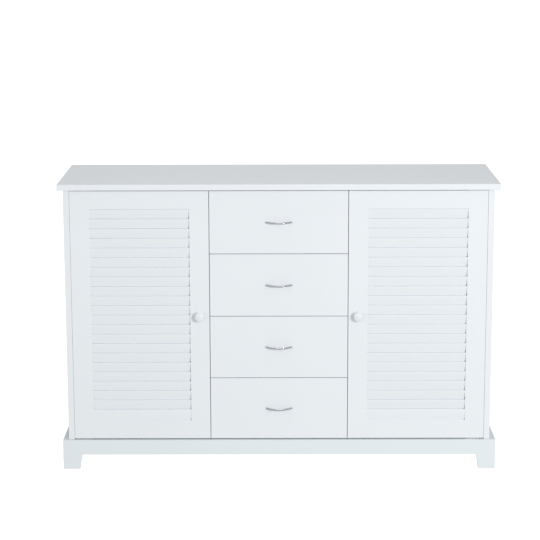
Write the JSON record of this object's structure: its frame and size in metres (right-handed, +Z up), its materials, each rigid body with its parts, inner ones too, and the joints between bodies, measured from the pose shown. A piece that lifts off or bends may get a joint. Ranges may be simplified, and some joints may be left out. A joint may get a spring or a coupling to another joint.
{
  "type": "sideboard cabinet",
  "caption": "Low white sideboard with a louvred door at each end, a stack of drawers with bowed handles between them, and a wrapped base with tapered feet.",
  "frame": {"origin": "on the floor, under the middle of the object's bounding box", "axes": "+X runs from the left door to the right one as seen from the front, +Y from the fronts to the back, +Z up"},
  "size_m": [1.1156, 0.36, 0.745],
  "materials": {
    "white_paint": "satin white paint on fibreboard",
    "white_gloss": "glossier white paint on turned wood",
    "white_board": "white melamine-faced board",
    "white_hardboard": "thin hardboard, painted white on one face",
    "pale_pine": "bare planed pine",
    "chrome": "polished chrome plate",
    "zinc_steel": "zinc-plated pressed steel",
    "white_plastic": "moulded white plastic"
  },
  "bodies": {
    "carcass": {"top_panel": "white_paint", "side_panel_left": "white_paint", "side_panel_right": "white_paint", "divider_left": "white_board", "divider_right": "white_board", "bottom_panel": "white_board", "back_panel": "white_hardboard", "shelf_left": "white_board", "shelf_right": "white_board", "base_front": "white_paint", "base_left": "white_paint", "base_right": "white_paint", "base_stretcher": "white_paint", "catch_left": "white_plastic", "catch_right": "white_plastic", "hinge_fixed_leaf_left_upper": "zinc_steel", "hinge_fixed_leaf_left_lower": "zinc_steel", "hinge_fixed_leaf_right_upper": "zinc_steel", "hinge_fixed_leaf_right_lower": "zinc_steel", "drawer_1_runner_left": "pale_pine", "drawer_1_runner_right": "pale_pine", "drawer_2_runner_left": "pale_pine", "drawer_2_runner_right": "pale_pine", "drawer_3_runner_left": "pale_pine", "drawer_3_runner_right": "pale_pine", "drawer_4_runner_left": "pale_pine", "drawer_4_runner_right": "pale_pine"},
    "door_left": {"door_left_hinge_stile": "white_paint", "door_left_knob_stile": "white_paint", "door_left_top_rail": "white_paint", "door_left_bottom_rail": "white_paint", "door_left_louvre": "white_paint", "door_left_knob": "white_gloss", "hinge_door_leaf_left_upper": "zinc_steel", "hinge_door_leaf_left_lower": "zinc_steel"},
    "door_right": {"door_right_hinge_stile": "white_paint", "door_right_knob_stile": "white_paint", "door_right_top_rail": "white_paint", "door_right_bottom_rail": "white_paint", "door_right_louvre": "white_paint", "door_right_knob": "white_gloss", "hinge_door_leaf_right_upper": "zinc_steel", "hinge_door_leaf_right_lower": "zinc_steel"},
    "drawer_1": {"drawer_1_front": "white_paint", "drawer_1_box": "white_board", "drawer_1_bottom": "white_hardboard", "drawer_1_handle": "chrome"},
    "drawer_2": {"drawer_2_front": "white_paint", "drawer_2_box": "white_board", "drawer_2_bottom": "white_hardboard", "drawer_2_handle": "chrome"},
    "drawer_3": {"drawer_3_front": "white_paint", "drawer_3_box": "white_board", "drawer_3_bottom": "white_hardboard", "drawer_3_handle": "chrome"},
    "drawer_4": {"drawer_4_front": "white_paint", "drawer_4_box": "white_board", "drawer_4_bottom": "white_hardboard", "drawer_4_handle": "chrome"}
  },
  "joints": [
    {"name": "door_left_hinge", "type": "hinge", "parent": "carcass", "child": "door_left", "pos_m": [-0.5246, -0.154, 0.0805], "axis": [0, 0, -1], "range_deg": [0, 110]},
    {"name": "door_right_hinge", "type": "hinge", "parent": "carcass", "child": "door_right", "pos_m": [0.5246, -0.154, 0.0805], "axis": [0, 0, 1], "range_deg": [0, 110]},
    {"name": "drawer_1_slide", "type": "slide", "parent": "carcass", "child": "drawer_1", "axis": [0, -1, 0], "range_m": [0, 0.21]},
    {"name": "drawer_2_slide", "type": "slide", "parent": "carcass", "child": "drawer_2", "axis": [0, -1, 0], "range_m": [0, 0.21]},
    {"name": "drawer_3_slide", "type": "slide", "parent": "carcass", "child": "drawer_3", "axis": [0, -1, 0], "range_m": [0, 0.21]},
    {"name": "drawer_4_slide", "type": "slide", "parent": "carcass", "child": "drawer_4", "axis": [0, -1, 0], "range_m": [0, 0.21]}
  ]
}
